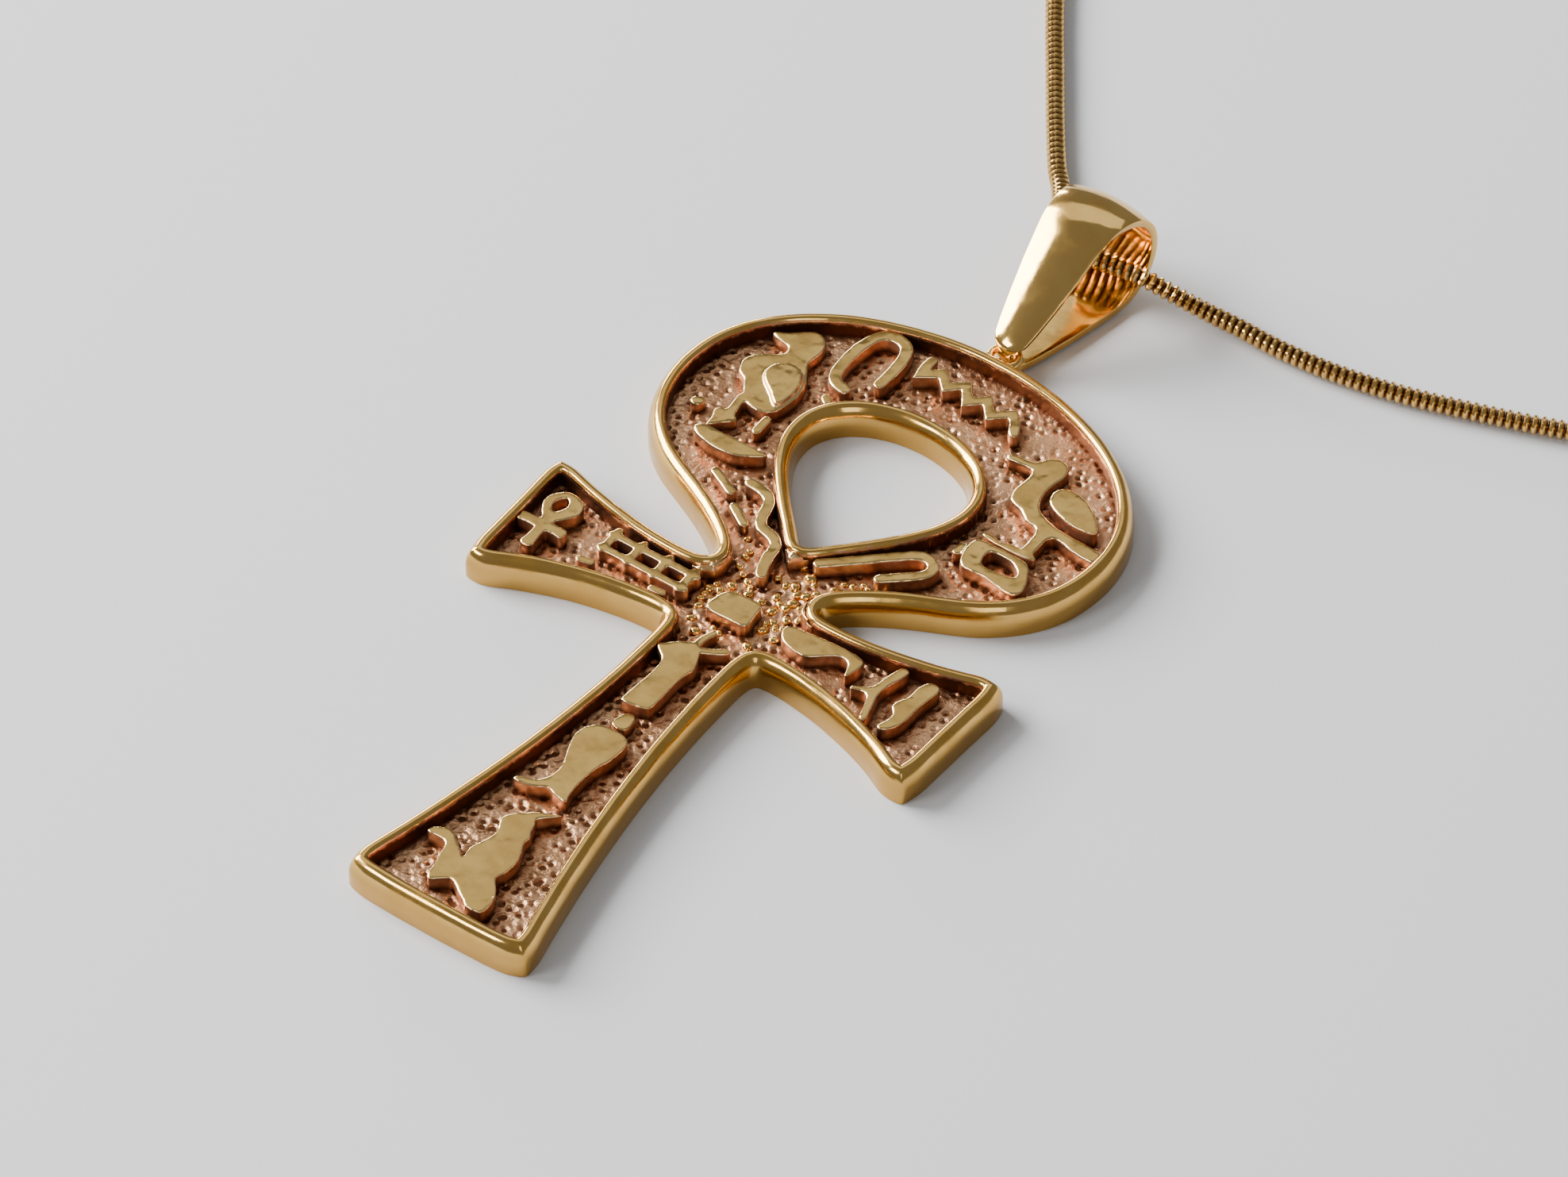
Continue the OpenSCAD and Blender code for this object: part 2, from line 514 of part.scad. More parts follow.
// Points along the chain's middle, with steps no longer than chain_step
chain_way = let (m = len(CHAIN_ROUTE)) concat(
    [
        for (i = [0:m - 2])
            let (
                n = max(1, ceil(norm(CHAIN_ROUTE[i + 1] - CHAIN_ROUTE[i]) / chain_step))
            )
            for (k = [0:n - 1])
                between(
                    CHAIN_ROUTE[max(i - 1, 0)], CHAIN_ROUTE[i], CHAIN_ROUTE[i + 1],
                    CHAIN_ROUTE[min(i + 2, m - 1)], k / n
                )
    ],
    [CHAIN_ROUTE[m - 1]]
);

module chain() {
    m = len(chain_way);
    points = [
        for (i = [0:m - 1])
            let (
                way = unit(chain_way[min(i + 1, m - 1)] - chain_way[max(i - 1, 0)]),
                side = unit(cross(way, [0, 0, 1])),
                up = cross(side, way)
            )
            for (j = [0:chain_sides - 1])
                let (a = 360 * (j + 0.5) / chain_sides)
                chain_way[i] + chain_d / 2 * (cos(a) * side + sin(a) * up)
    ];
    faces = concat(
        [[for (j = [0:chain_sides - 1]) j]],
        [
            for (i = [0:m - 2])
                for (j = [0:chain_sides - 1])
                    let (
                        a = i * chain_sides + j,
                        b = i * chain_sides + (j + 1) % chain_sides,
                        c = b + chain_sides,
                        d = a + chain_sides
                    )
                    each [[a, d, c], [a, c, b]]
        ],
        [[for (j = [chain_sides - 1:-1:0]) (m - 1) * chain_sides + j]]
    );
    color(gold) polyhedron(points = points, faces = faces);
}

module clasp() {
    r = clasp_d / 2;
    color(bright_gold)
        translate(clasp_at)
            rotate([0, 90, 0])
                rotate_extrude()
                    polygon([
                        [0, -clasp_l / 2], [0.45 * r, -clasp_l / 2], [0.85 * r, -0.38 * clasp_l],
                        [r, -0.3 * clasp_l], [r, 0.3 * clasp_l], [0.85 * r, 0.38 * clasp_l],
                        [0.45 * r, clasp_l / 2], [0, clasp_l / 2]
                    ]);
}

ankh();
bail();
chain();
clasp();
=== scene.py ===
import math
import random

import bpy
from mathutils import Euler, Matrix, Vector
from mathutils.kdtree import KDTree
from mathutils.noise import noise as random_hills


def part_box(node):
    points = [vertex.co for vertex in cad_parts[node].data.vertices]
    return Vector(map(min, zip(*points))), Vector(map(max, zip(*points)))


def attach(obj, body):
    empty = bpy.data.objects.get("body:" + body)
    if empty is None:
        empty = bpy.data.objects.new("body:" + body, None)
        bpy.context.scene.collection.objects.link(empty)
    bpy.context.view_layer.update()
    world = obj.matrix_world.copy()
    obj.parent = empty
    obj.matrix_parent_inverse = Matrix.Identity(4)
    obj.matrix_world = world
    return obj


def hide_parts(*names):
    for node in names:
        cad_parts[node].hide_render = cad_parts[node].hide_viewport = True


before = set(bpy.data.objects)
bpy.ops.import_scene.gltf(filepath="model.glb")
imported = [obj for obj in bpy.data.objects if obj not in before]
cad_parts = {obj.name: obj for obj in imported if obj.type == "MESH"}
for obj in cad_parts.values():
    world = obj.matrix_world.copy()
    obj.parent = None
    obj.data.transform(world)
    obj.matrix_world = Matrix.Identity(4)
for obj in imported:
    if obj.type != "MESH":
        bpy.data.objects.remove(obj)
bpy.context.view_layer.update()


# Rims: the ankh is one casting in gold. Its flat back carries a half-round rim along the outer edge and
# another round the open eye. Both rims were filed and buffed, so they are the brightest part. Low on the
# inner wall of each, next to the field, the gold turns coppery, then dark brown, and the outer wall is
# painted a darker gold as shade.
MM = 0.001
cast_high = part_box("ankh")[1]
RIM_TOP = cast_high.z
RIM_WIDTH = 0.9 * MM
FIELD_Z = 0.8 * MM
# The outline's points stand at least this far apart
OUTLINE_STEP = 0.13 * MM
OUTLINE_ROUNDS = 12
# Points that an inset brings this close to each other become one
MEETING = 0.045 * MM
INSET_ROUNDS = 8
# Levels of the upright outer wall below its rounding, as shares of the rim's height
WALL_STEPS = (0.02, 0.2, 0.42)
# The rounded crest: share of the rim's width inwards, share of its height
CREST_STEPS = (
    (0.03, 0.54), (0.08, 0.65), (0.15, 0.75), (0.24, 0.84), (0.34, 0.91), (0.45, 0.96), (0.56, 0.99),
    (0.66, 1.0), (0.76, 0.995), (0.85, 0.97), (0.92, 0.925), (0.97, 0.86), (0.995, 0.76), (1.02, 0.4),
)
# Corners that were filed crisp: across, up, and how far each is drawn out, in millimetres
CORNERS = (
    (-13.0, 3.93, -0.15, 0.13), (-12.83, -3.96, -0.13, -0.14), (-4.98, -23.14, -0.13, -0.13),
    (5.13, -22.95, 0.15, -0.15), (12.79, -4.0, 0.15, -0.15), (13.11, 3.84, 0.16, 0.13),
    (-2.76, -1.91, 0.12, 0.1), (2.84, -1.85, -0.12, 0.1), (-0.06, 5.95, 0, -0.2),
)
CORNER_REACH = 0.8 * MM
# Small unevenness that filing by hand leaves on the crest
FILING_WIDE = 2.6 * MM
FILING_DEEP = 0.05 * MM


def only(*pieces):
    """Selects just these pieces and makes the first one active."""
    bpy.ops.object.select_all(action="DESELECT")
    for piece in pieces:
        piece.select_set(True)
    bpy.context.view_layer.objects.active = pieces[0]


def edit(kind="VERT", everything=True):
    bpy.ops.object.mode_set(mode="EDIT")
    bpy.ops.mesh.select_mode(type=kind)
    bpy.ops.mesh.select_all(action="SELECT" if everything else "DESELECT")


def edit_faces(piece, wanted):
    """Opens edit mode with only the faces selected that wanted() says."""
    edit("FACE", everything=False)
    bpy.ops.object.mode_set(mode="OBJECT")
    for face in piece.data.polygons:
        face.select = wanted(face)
    bpy.ops.object.mode_set(mode="EDIT")


def done():
    bpy.ops.object.mode_set(mode="OBJECT")


def outward():
    """Turns all faces of the mesh in edit mode outwards."""
    bpy.ops.mesh.select_all(action="SELECT")
    bpy.ops.mesh.normals_make_consistent(inside=False)


def copy_of_node(node, name):
    """A new piece with a CAD node's form, its loose triangles merged."""
    piece = bpy.data.objects.new(name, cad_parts[node].data.copy())
    bpy.context.scene.collection.objects.link(piece)
    piece.data.materials.clear()
    only(piece)
    edit()
    bpy.ops.mesh.remove_doubles(threshold=1e-6)
    done()
    return piece


def copy_of(piece, name):
    only(piece)
    bpy.ops.object.duplicate()
    twin = bpy.context.view_layer.objects.active
    twin.name = name
    return twin


def lift(height):
    bpy.ops.transform.translate(value=(0, 0, height))


def raise_by(height):
    """Extrudes the chosen faces straight up."""
    bpy.ops.mesh.extrude_region_move(TRANSFORM_OT_translate={"value": (0, 0, height)})


def inset_by(width):
    """Insets the chosen faces and merges the points that meet in a corner."""
    bpy.ops.mesh.inset(thickness=width)
    bpy.ops.mesh.remove_doubles(threshold=MEETING)


def keep_inner(width):
    """Leaves only what lies that far inside the edge of a flat sheet."""
    edit("FACE")
    for _ in range(INSET_ROUNDS):
        inset_by(width / INSET_ROUNDS)
    bpy.ops.mesh.select_all(action="INVERT")
    bpy.ops.mesh.delete(type="FACE")
    edit("FACE")


def shape_with(piece, name, kind, **settings):
    """Adds a modifier to the piece, sets it and applies it."""
    only(piece)
    modifier = piece.modifiers.new(name, kind)
    for key, value in settings.items():
        setattr(modifier, key, value)
    bpy.ops.object.modifier_apply(modifier=name)


def clouds(name, size):
    """A soft, cloudy texture that pushes a surface in and out."""
    texture = bpy.data.textures.new(name, "CLOUDS")
    texture.noise_scale = size
    texture.noise_depth = 2
    return texture


# The back's own edges, made smooth curves again and closed as one flat sheet
sheet = copy_of_node("ankh", "back_sheet")
edit_faces(sheet, lambda face: face.center.z > 0.01 * MM)
bpy.ops.mesh.delete(type="FACE")
edit("FACE")
bpy.ops.mesh.region_to_loop()
bpy.ops.mesh.select_all(action="INVERT")
bpy.ops.mesh.delete(type="EDGE_FACE")
done()
bpy.ops.object.convert(target="CURVE")
bpy.ops.object.mode_set(mode="EDIT")
bpy.ops.curve.select_all(action="SELECT")
bpy.ops.curve.spline_type_set(type="BEZIER")
bpy.ops.curve.handle_type_set(type="AUTOMATIC")
done()
sheet.data.resolution_u = 14
bpy.ops.object.convert(target="MESH")
edit()
bpy.ops.mesh.remove_doubles(threshold=OUTLINE_STEP)
bpy.ops.mesh.vertices_smooth(factor=0.5, repeat=OUTLINE_ROUNDS)
done()
for across, up, right, ahead in CORNERS:
    corner = Vector((across, up, 0)) * MM
    for vertex in sheet.data.vertices:
        nearness = max(0, 1 - (vertex.co - corner).length / CORNER_REACH)
        vertex.co += nearness ** 2 * MM * Vector((right, ahead, 0))
edit()
bpy.ops.mesh.fill(use_beauty=True)
outward()
done()

rims = copy_of(sheet, "rims")
edit("FACE")
height = 0
for share in WALL_STEPS:
    step = share * RIM_TOP - height
    raise_by(step)
    height += step
width = 0
for in_share, up_share in CREST_STEPS:
    inset_by(in_share * RIM_WIDTH - width)
    lift(up_share * RIM_TOP - height)
    width, height = in_share * RIM_WIDTH, up_share * RIM_TOP
outward()
done()
bpy.ops.object.shade_smooth_by_angle(angle=math.radians(50))

hand_filed = clouds("hand_filed", FILING_WIDE)
shape_with(rims, "filing", "DISPLACE", texture=hand_filed, strength=FILING_DEEP)


def new_group(name, inputs, outputs):
    """A shader node group of plain numbers, its inputs with the values that they start with."""
    group = bpy.data.node_groups.new(name, "ShaderNodeTree")
    for label, value in inputs.items():
        socket = group.interface.new_socket(label, in_out="INPUT", socket_type="NodeSocketFloat")
        socket.default_value = value
    for label in outputs:
        group.interface.new_socket(label, in_out="OUTPUT", socket_type="NodeSocketFloat")
    return group


def add(tree, kind, **settings):
    """A new node of a material or group, with its settings."""
    node = tree.nodes.new(kind)
    for key, value in settings.items():
        setattr(node, key, value)
    return node


def feed(tree, socket, value):
    """Gives a socket a fixed value, or links it to another node's output."""
    if isinstance(value, (int, float, tuple)):
        socket.default_value = value
    else:
        tree.links.new(value, socket)


def ramp(tree, source, low, high, to_low=0.0, to_high=1.0):
    """A smooth step of source from low to high."""
    node = add(tree, "ShaderNodeMapRange", interpolation_type="SMOOTHSTEP")
    tree.links.new(source, node.inputs["Value"])
    for label, value in zip(("From Min", "From Max", "To Min", "To Max"), (low, high, to_low, to_high)):
        node.inputs[label].default_value = value
    return node.outputs["Result"]


def calc(tree, operation, first, second):
    """One sum of two values or outputs; an addition stops at one."""
    node = add(tree, "ShaderNodeMath", operation=operation, use_clamp=operation == "ADD")
    feed(tree, node.inputs[0], first)
    feed(tree, node.inputs[1], second)
    return node.outputs[0]


def blend_colours(tree, factor, first, second):
    node = add(tree, "ShaderNodeMix", data_type="RGBA")
    # A colour mix keeps its factor in socket 0, its two colours in 6 and 7, and its result in 2
    for socket, value in ((0, factor), (6, first), (7, second)):
        feed(tree, node.inputs[socket], value)
    return node.outputs[2]


def noise(tree, place, size, detail=3.0, roughness=0.55):
    node = add(tree, "ShaderNodeTexNoise")
    tree.links.new(place, node.inputs["Vector"])
    node.inputs["Scale"].default_value = 1 / size
    node.inputs["Detail"].default_value = detail
    node.inputs["Roughness"].default_value = roughness
    return node.outputs["Fac"]


def make_handling_group():
    """Fine wear of gold that is handled: soft smears in its shine, buffing marks and a faint waviness."""
    group = new_group("handled_gold", {"Roughness": 0.15, "Smear": 0.1}, ("Roughness", "Height", "Tone"))
    start = add(group, "NodeGroupInput")
    end = add(group, "NodeGroupOutput")
    place = add(group, "ShaderNodeTexCoord").outputs["Object"]
    smear = noise(group, place, 1.6 * MM, 4.0)
    pores = noise(group, place, 0.16 * MM, 2.0)
    waves = noise(group, place, 0.9 * MM, 1.0, 0.4)
    added = calc(group, "MULTIPLY", ramp(group, smear, 0.42, 0.72), start.outputs["Smear"])
    group.links.new(calc(group, "ADD", start.outputs["Roughness"], added), end.inputs["Roughness"])
    fine = calc(group, "MULTIPLY", pores, 0.12)
    group.links.new(calc(group, "ADD", waves, fine), end.inputs["Height"])
    group.links.new(ramp(group, smear, 0.3, 0.75), end.inputs["Tone"])
    return group


handling = make_handling_group()
BUFFED = (0.84, 0.52, 0.15, 1)
BUFFED_DEEP = (0.70, 0.40, 0.09, 1)
SHADED_WALL_GOLD = (0.48, 0.27, 0.065, 1)
COPPERY = (0.70, 0.40, 0.25, 1)
LOW_WALL_BROWN = (0.10, 0.038, 0.017, 1)


def start_gold(name, roughness, smear):
    """A metal material with the handled surface in place; returns it, its tree, shader and that group."""
    material = bpy.data.materials.new(name)
    material.use_nodes = True
    tree = material.node_tree
    shader = tree.nodes["Principled BSDF"]
    shader.inputs["Metallic"].default_value = 1.0
    handled = add(tree, "ShaderNodeGroup", node_tree=handling)
    handled.inputs["Roughness"].default_value = roughness
    handled.inputs["Smear"].default_value = smear
    return material, tree, shader, handled


def height_of(tree, vector):
    """The upward part of a place or a normal."""
    split = add(tree, "ShaderNodeSeparateXYZ")
    tree.links.new(vector, split.inputs[0])
    return split.outputs["Z"]


def mark(tree, label):
    """Reads a mark that the mesh keeps at each point."""
    return add(tree, "ShaderNodeAttribute", attribute_name=label).outputs["Fac"]


def finish_gold(tree, shader, colour, roughness, relief, depth):
    """Leads the colour, the roughness and a fine relief of that depth into the metal."""
    tree.links.new(colour, shader.inputs["Base Color"])
    tree.links.new(roughness, shader.inputs["Roughness"])
    bump = add(tree, "ShaderNodeBump")
    bump.inputs["Strength"].default_value = 1.0
    bump.inputs["Distance"].default_value = depth
    tree.links.new(relief, bump.inputs["Height"])
    tree.links.new(bump.outputs["Normal"], shader.inputs["Normal"])


def wear(piece, material):
    piece.data.materials.clear()
    piece.data.materials.append(material)


def seen_from_above(piece, wanted=lambda vertex: True):
    """A search tree over the piece's points, or those that wanted() says, laid flat."""
    places = [vertex.co for vertex in piece.data.vertices if wanted(vertex)]
    tree = KDTree(len(places))
    for index, place in enumerate(places):
        tree.insert((place.x, place.y, 0), index)
    tree.balance()
    return tree


def distance(tree, x, y):
    return tree.find((x, y, 0))[2]


def mark_distance(piece, label, tree):
    """Keeps at each point how far it is, seen from above, from what the search tree holds."""
    marks = piece.data.attributes.new(label, "FLOAT", "POINT")
    for vertex, point in zip(piece.data.vertices, marks.data):
        point.value = distance(tree, vertex.co.x, vertex.co.y)


outline = seen_from_above(sheet)
mark_distance(rims, "from_edge", outline)


def make_rim_gold():
    material, tree, shader, handled = start_gold("buffed_rim_gold", 0.13, 0.10)
    gold = blend_colours(tree, handled.outputs["Tone"], BUFFED, BUFFED_DEEP)
    from_edge = mark(tree, "from_edge")
    inner = ramp(tree, from_edge, 0.8 * RIM_WIDTH, 0.97 * RIM_WIDTH)
    place = add(tree, "ShaderNodeTexCoord").outputs["Object"]
    edge = noise(tree, place, 0.5 * MM, 3.0)
    ragged = calc(tree, "ADD", height_of(tree, place), calc(tree, "MULTIPLY", edge, 0.5 * MM))
    low = ramp(tree, ragged, RIM_TOP + 0.22 * MM, RIM_TOP - 0.2 * MM)
    low_inner_dark = calc(tree, "MULTIPLY", inner, low)
    # Painted shade: the outer wall is painted a darker gold, which stands in for a dark reflection
    wall = ramp(tree, from_edge, 0.3 * RIM_WIDTH, 0.0, 0.0, 0.75)
    gold = blend_colours(tree, wall, gold, SHADED_WALL_GOLD)
    # Low on the inner wall, next to the field, the rim turns coppery, then dark brown
    gold = blend_colours(tree, ramp(tree, low_inner_dark, 0.0, 0.45), gold, COPPERY)
    gold = blend_colours(tree, ramp(tree, low_inner_dark, 0.35, 1.0), gold, LOW_WALL_BROWN)
    rough = calc(tree, "ADD", handled.outputs["Roughness"], calc(tree, "MULTIPLY", low_inner_dark, 0.3))
    finish_gold(tree, shader, gold, rough, handled.outputs["Height"], 0.012 * MM)
    return material


wear(rims, make_rim_gold())
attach(rims, "root")
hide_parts("ankh")


# Hanging ring: a small ring of round gold wire, soldered on top of the loop. A little solder has run up
# on both sides of the joint and rounds it.
RING_IN = 1.0 * MM
RING_WIRE = 0.45 * MM
RING_Z = 0.95 * MM
RING_VOXEL = 0.04 * MM
SOLDER_SIZE = (0.62 * MM, 0.34 * MM, 0.42 * MM)
SOLDER_DROP = 0.05 * MM
POLISHED = (0.90, 0.58, 0.18, 1)
POLISHED_DEEP = (0.80, 0.48, 0.13, 1)
ring_place = Vector((0, cast_high.y - RING_WIRE - RING_IN / 2, RING_Z))

bpy.ops.object.select_all(action="DESELECT")
bpy.ops.mesh.primitive_torus_add(
    major_radius=(RING_IN + RING_WIRE) / 2, minor_radius=RING_WIRE / 2,
    major_segments=48, minor_segments=20, location=ring_place,
)
ring = bpy.context.object
bpy.ops.object.transform_apply()
bpy.ops.mesh.primitive_ico_sphere_add(
    subdivisions=4, radius=1, scale=SOLDER_SIZE,
    location=ring_place - Vector((0, RING_IN / 2 + RING_WIRE, SOLDER_DROP)),
)
solder = bpy.context.object
bpy.ops.object.transform_apply()
only(ring, solder)
bpy.ops.object.join()
ring.name = "hanging_ring"
shape_with(ring, "fused", "REMESH", mode="VOXEL", voxel_size=RING_VOXEL)
shape_with(ring, "softened", "SMOOTH", factor=0.5, iterations=10)
bpy.ops.object.shade_smooth()


def make_polished_gold():
    material, tree, shader, handled = start_gold("polished_gold", 0.09, 0.07)
    gold = blend_colours(tree, handled.outputs["Tone"], POLISHED, POLISHED_DEEP)
    finish_gold(tree, shader, gold, handled.outputs["Roughness"], handled.outputs["Height"], 0.008 * MM)
    return material


polished_gold = make_polished_gold()
wear(ring, polished_gold)
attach(ring, "root")
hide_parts("ankh")


# Signs: the raised figures between the rims were cast with the plate, and their tops were rubbed flat
# and bright. Casting left their edges soft, and their sides keep a pink, coppery skin.
SIGN_VOXEL = 0.048 * MM
SIGNS_MOST_TRIANGLES = 170000
SIGN_ROOT = 0.4 * MM
# How far inside the outline the signs end, clear of the rims
SIGN_EDGE = 1.01 * RIM_WIDTH
# The signs on the loop, above this height, are worn rounder than those on the stem and the arms
WORN_FROM = 4.5 * MM
EDGE_ROUNDS = 20
WORN_ROUNDS = 12
CARVING_WIDE = 0.9 * MM
CARVING_DEEP = 0.07 * MM
RUBBED = (0.68, 0.44, 0.13, 1)
RUBBED_DEEP = (0.49, 0.30, 0.08, 1)
PAINTED_EDGE_HIGHLIGHT = (0.95, 0.69, 0.33, 1)
STAINED_SKIN = (0.46, 0.22, 0.12, 1)

# All that stands above the field, led down into it and cut clear of both rims
signs = copy_of_node("ankh", "signs")
edit()
bpy.ops.mesh.bisect(
    plane_co=(0, 0, FIELD_Z + 0.02 * MM), plane_no=(0, 0, 1), clear_inner=True, threshold=0.001 * MM
)
edit("EDGE", everything=False)
bpy.ops.mesh.select_non_manifold()
bpy.ops.mesh.extrude_edges_move(TRANSFORM_OT_translate={"value": (0, 0, -SIGN_ROOT)})
bpy.ops.mesh.fill(use_beauty=False)
outward()
done()
cutter = copy_of(sheet, "sign_cutter")
keep_inner(SIGN_EDGE)
lift(FIELD_Z - 0.5 * SIGN_ROOT)
raise_by(RIM_TOP)
outward()
done()
shape_with(
    signs, "cut_clear", "BOOLEAN", operation="INTERSECT", object=cutter, solver="EXACT", use_self=True
)
bpy.data.objects.remove(cutter)

shape_with(signs, "cast", "REMESH", mode="VOXEL", voxel_size=SIGN_VOXEL)
shape_with(signs, "soft_edges", "SMOOTH", factor=0.5, iterations=EDGE_ROUNDS)
worn = signs.vertex_groups.new(name="worn")
worn.add([v.index for v in signs.data.vertices if v.co.y > WORN_FROM], 1.0, "REPLACE")
shape_with(signs, "rubbing", "SMOOTH", factor=0.5, iterations=WORN_ROUNDS, vertex_group="worn")
wax = clouds("wax_carving", CARVING_WIDE)
shape_with(signs, "carving", "DISPLACE", texture=wax, strength=CARVING_DEEP)


def make_lighter(piece, most_triangles):
    """Thins the mesh to about that many triangles; a face of the mesh counts as two."""
    share = min(1.0, most_triangles / (2 * len(piece.data.polygons)))
    shape_with(piece, "lighter", "DECIMATE", ratio=share)


make_lighter(signs, SIGNS_MOST_TRIANGLES)
bpy.ops.object.shade_smooth()


def make_sign_gold():
    material, tree, shader, handled = start_gold("rubbed_sign_gold", 0.16, 0.16)
    place = add(tree, "ShaderNodeTexCoord").outputs["Object"]
    height = height_of(tree, place)
    facing_up = height_of(tree, add(tree, "ShaderNodeNewGeometry").outputs["Normal"])
    rubbed_and_lit = blend_colours(tree, handled.outputs["Tone"], RUBBED, RUBBED_DEEP)
    top = calc(
        tree, "MULTIPLY",
        ramp(tree, facing_up, 0.25, 0.6),
        ramp(tree, height, FIELD_Z + 0.35 * MM, FIELD_Z + 0.6 * MM),
    )
    # Painted highlight: the rounded edge is painted the brightest gold
    edge = calc(
        tree, "MULTIPLY",
        ramp(tree, facing_up, 0.985, 0.9),
        ramp(tree, height, FIELD_Z + 0.5 * MM, FIELD_Z + 0.7 * MM),
    )
    rubbed_and_lit = blend_colours(tree, edge, rubbed_and_lit, PAINTED_EDGE_HIGHLIGHT)
    stain = noise(tree, place, 0.8 * MM, 4.0)
    side = blend_colours(tree, ramp(tree, stain, 0.4, 0.65), COPPERY, STAINED_SKIN)
    # Low on the sides, next to the field, the skin turns dark brown
    foot = ramp(tree, height, FIELD_Z + 0.42 * MM, FIELD_Z - 0.02 * MM)
    side = blend_colours(tree, calc(tree, "MULTIPLY", foot, 0.9), side, LOW_WALL_BROWN)
    gold = blend_colours(tree, top, side, rubbed_and_lit)
    duller = calc(tree, "MULTIPLY", calc(tree, "SUBTRACT", 1.0, top), 0.2)
    rough = calc(tree, "ADD", handled.outputs["Roughness"], duller)
    finish_gold(tree, shader, gold, rough, handled.outputs["Height"], 0.004 * MM)
    return material


wear(signs, make_sign_gold())
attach(signs, "root")
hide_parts("ankh")


# Field: the ground between the signs is part of the gold casting, with small grains and punched pits
# close together. It was darkened in a bath, and rubbing brought the grains back to a pink copper colour.
FIELD_VOXEL = 0.072 * MM
FIELD_MOST_TRIANGLES = 190000
FIELD_THICK = 0.45 * MM
# How far inside the outline the field ends, under the rims
FIELD_EDGE = 0.74 * RIM_WIDTH
GRAIN = 0.5 * MM
GRAIN_DEEP = 0.34 * MM
# The grains on the stem, this far to both sides, have their full depth, and the others a share of it
STEM_REACH = 3.2 * MM
LOOP_GRAINS = 0.6
ARM_GRAINS = 0.45
HILLS_WIDE = 1.1 * MM
LUMP = 0.8 * MM
LUMP_DEEP = 0.2 * MM
# The section of one grain: share of the way from its middle outwards, level
GRAIN_LEVELS = ((0.0, 0.0), (0.2, 0.1), (0.4, 0.9), (0.55, 1.0), (0.8, 0.72), (1.0, 0.6))
MELTED_ROUNDS = 3
PINK = (0.68, 0.385, 0.205, 1)
PINK_DEEP = (0.43, 0.215, 0.105, 1)
DARK_FIELD = (0.20, 0.08, 0.036, 1)

ground = copy_of(sheet, "granulated_field")
keep_inner(FIELD_EDGE)
lift(FIELD_Z - FIELD_THICK)
raise_by(FIELD_THICK)
outward()
done()
shape_with(ground, "fused", "REMESH", mode="VOXEL", voxel_size=FIELD_VOXEL)
# The underside is hidden in the casting, so it is closed again with few faces
under = FIELD_Z - FIELD_THICK
edit_faces(ground, lambda face: face.center.z < under + 0.05 * MM and face.normal.z < -0.7)
bpy.ops.mesh.delete(type="FACE")
bpy.ops.mesh.select_mode(type="EDGE")
bpy.ops.mesh.select_non_manifold()
bpy.ops.mesh.fill(use_beauty=False)
done()


def grain_depth(place):
    """How deep the grains are there, as a share, with soft hills and hollows."""
    if place.y > WORN_FROM:
        share = LOOP_GRAINS
    elif abs(place.x) < STEM_REACH:
        share = 1.0
    else:
        share = ARM_GRAINS
    return share * (0.75 + 0.7 * random_hills(place / HILLS_WIDE))


# Each grain is a ring with a pit in its middle
upper = ground.vertex_groups.new(name="upper")
for vertex in ground.data.vertices:
    if vertex.co.z > FIELD_Z - 0.1 * MM:
        upper.add([vertex.index], grain_depth(vertex.co), "REPLACE")
grains = bpy.data.textures.new("grains", "VORONOI")
grains.noise_scale = GRAIN
grains.use_color_ramp = True
rings = grains.color_ramp
rings.interpolation = "B_SPLINE"
for index, (at, level) in enumerate(GRAIN_LEVELS):
    if 0 < at < 1:
        stop = rings.elements.new(at)
    else:
        stop = rings.elements[index]
    stop.position = at
    stop.color = (level, level, level, 1)
lumps = clouds("lumps", LUMP)
for label, texture, depth, middle in (("grain", grains, GRAIN_DEEP, 0.85), ("lump", lumps, LUMP_DEEP, 0.5)):
    shape_with(
        ground, label, "DISPLACE", texture=texture, direction="Z", strength=depth, mid_level=middle,
        vertex_group="upper",
    )
shape_with(ground, "melted", "SMOOTH", factor=0.5, iterations=MELTED_ROUNDS, vertex_group="upper")
make_lighter(ground, FIELD_MOST_TRIANGLES)
bpy.ops.object.shade_smooth()
# Beside the walls of the signs and under the rims the field is painted darker as shade, by its distance
# from them
sign_feet = seen_from_above(signs, lambda vertex: vertex.co.z < FIELD_Z - 0.1 * MM)
mark_distance(ground, "from_sign", sign_feet)
mark_distance(ground, "from_edge", outline)


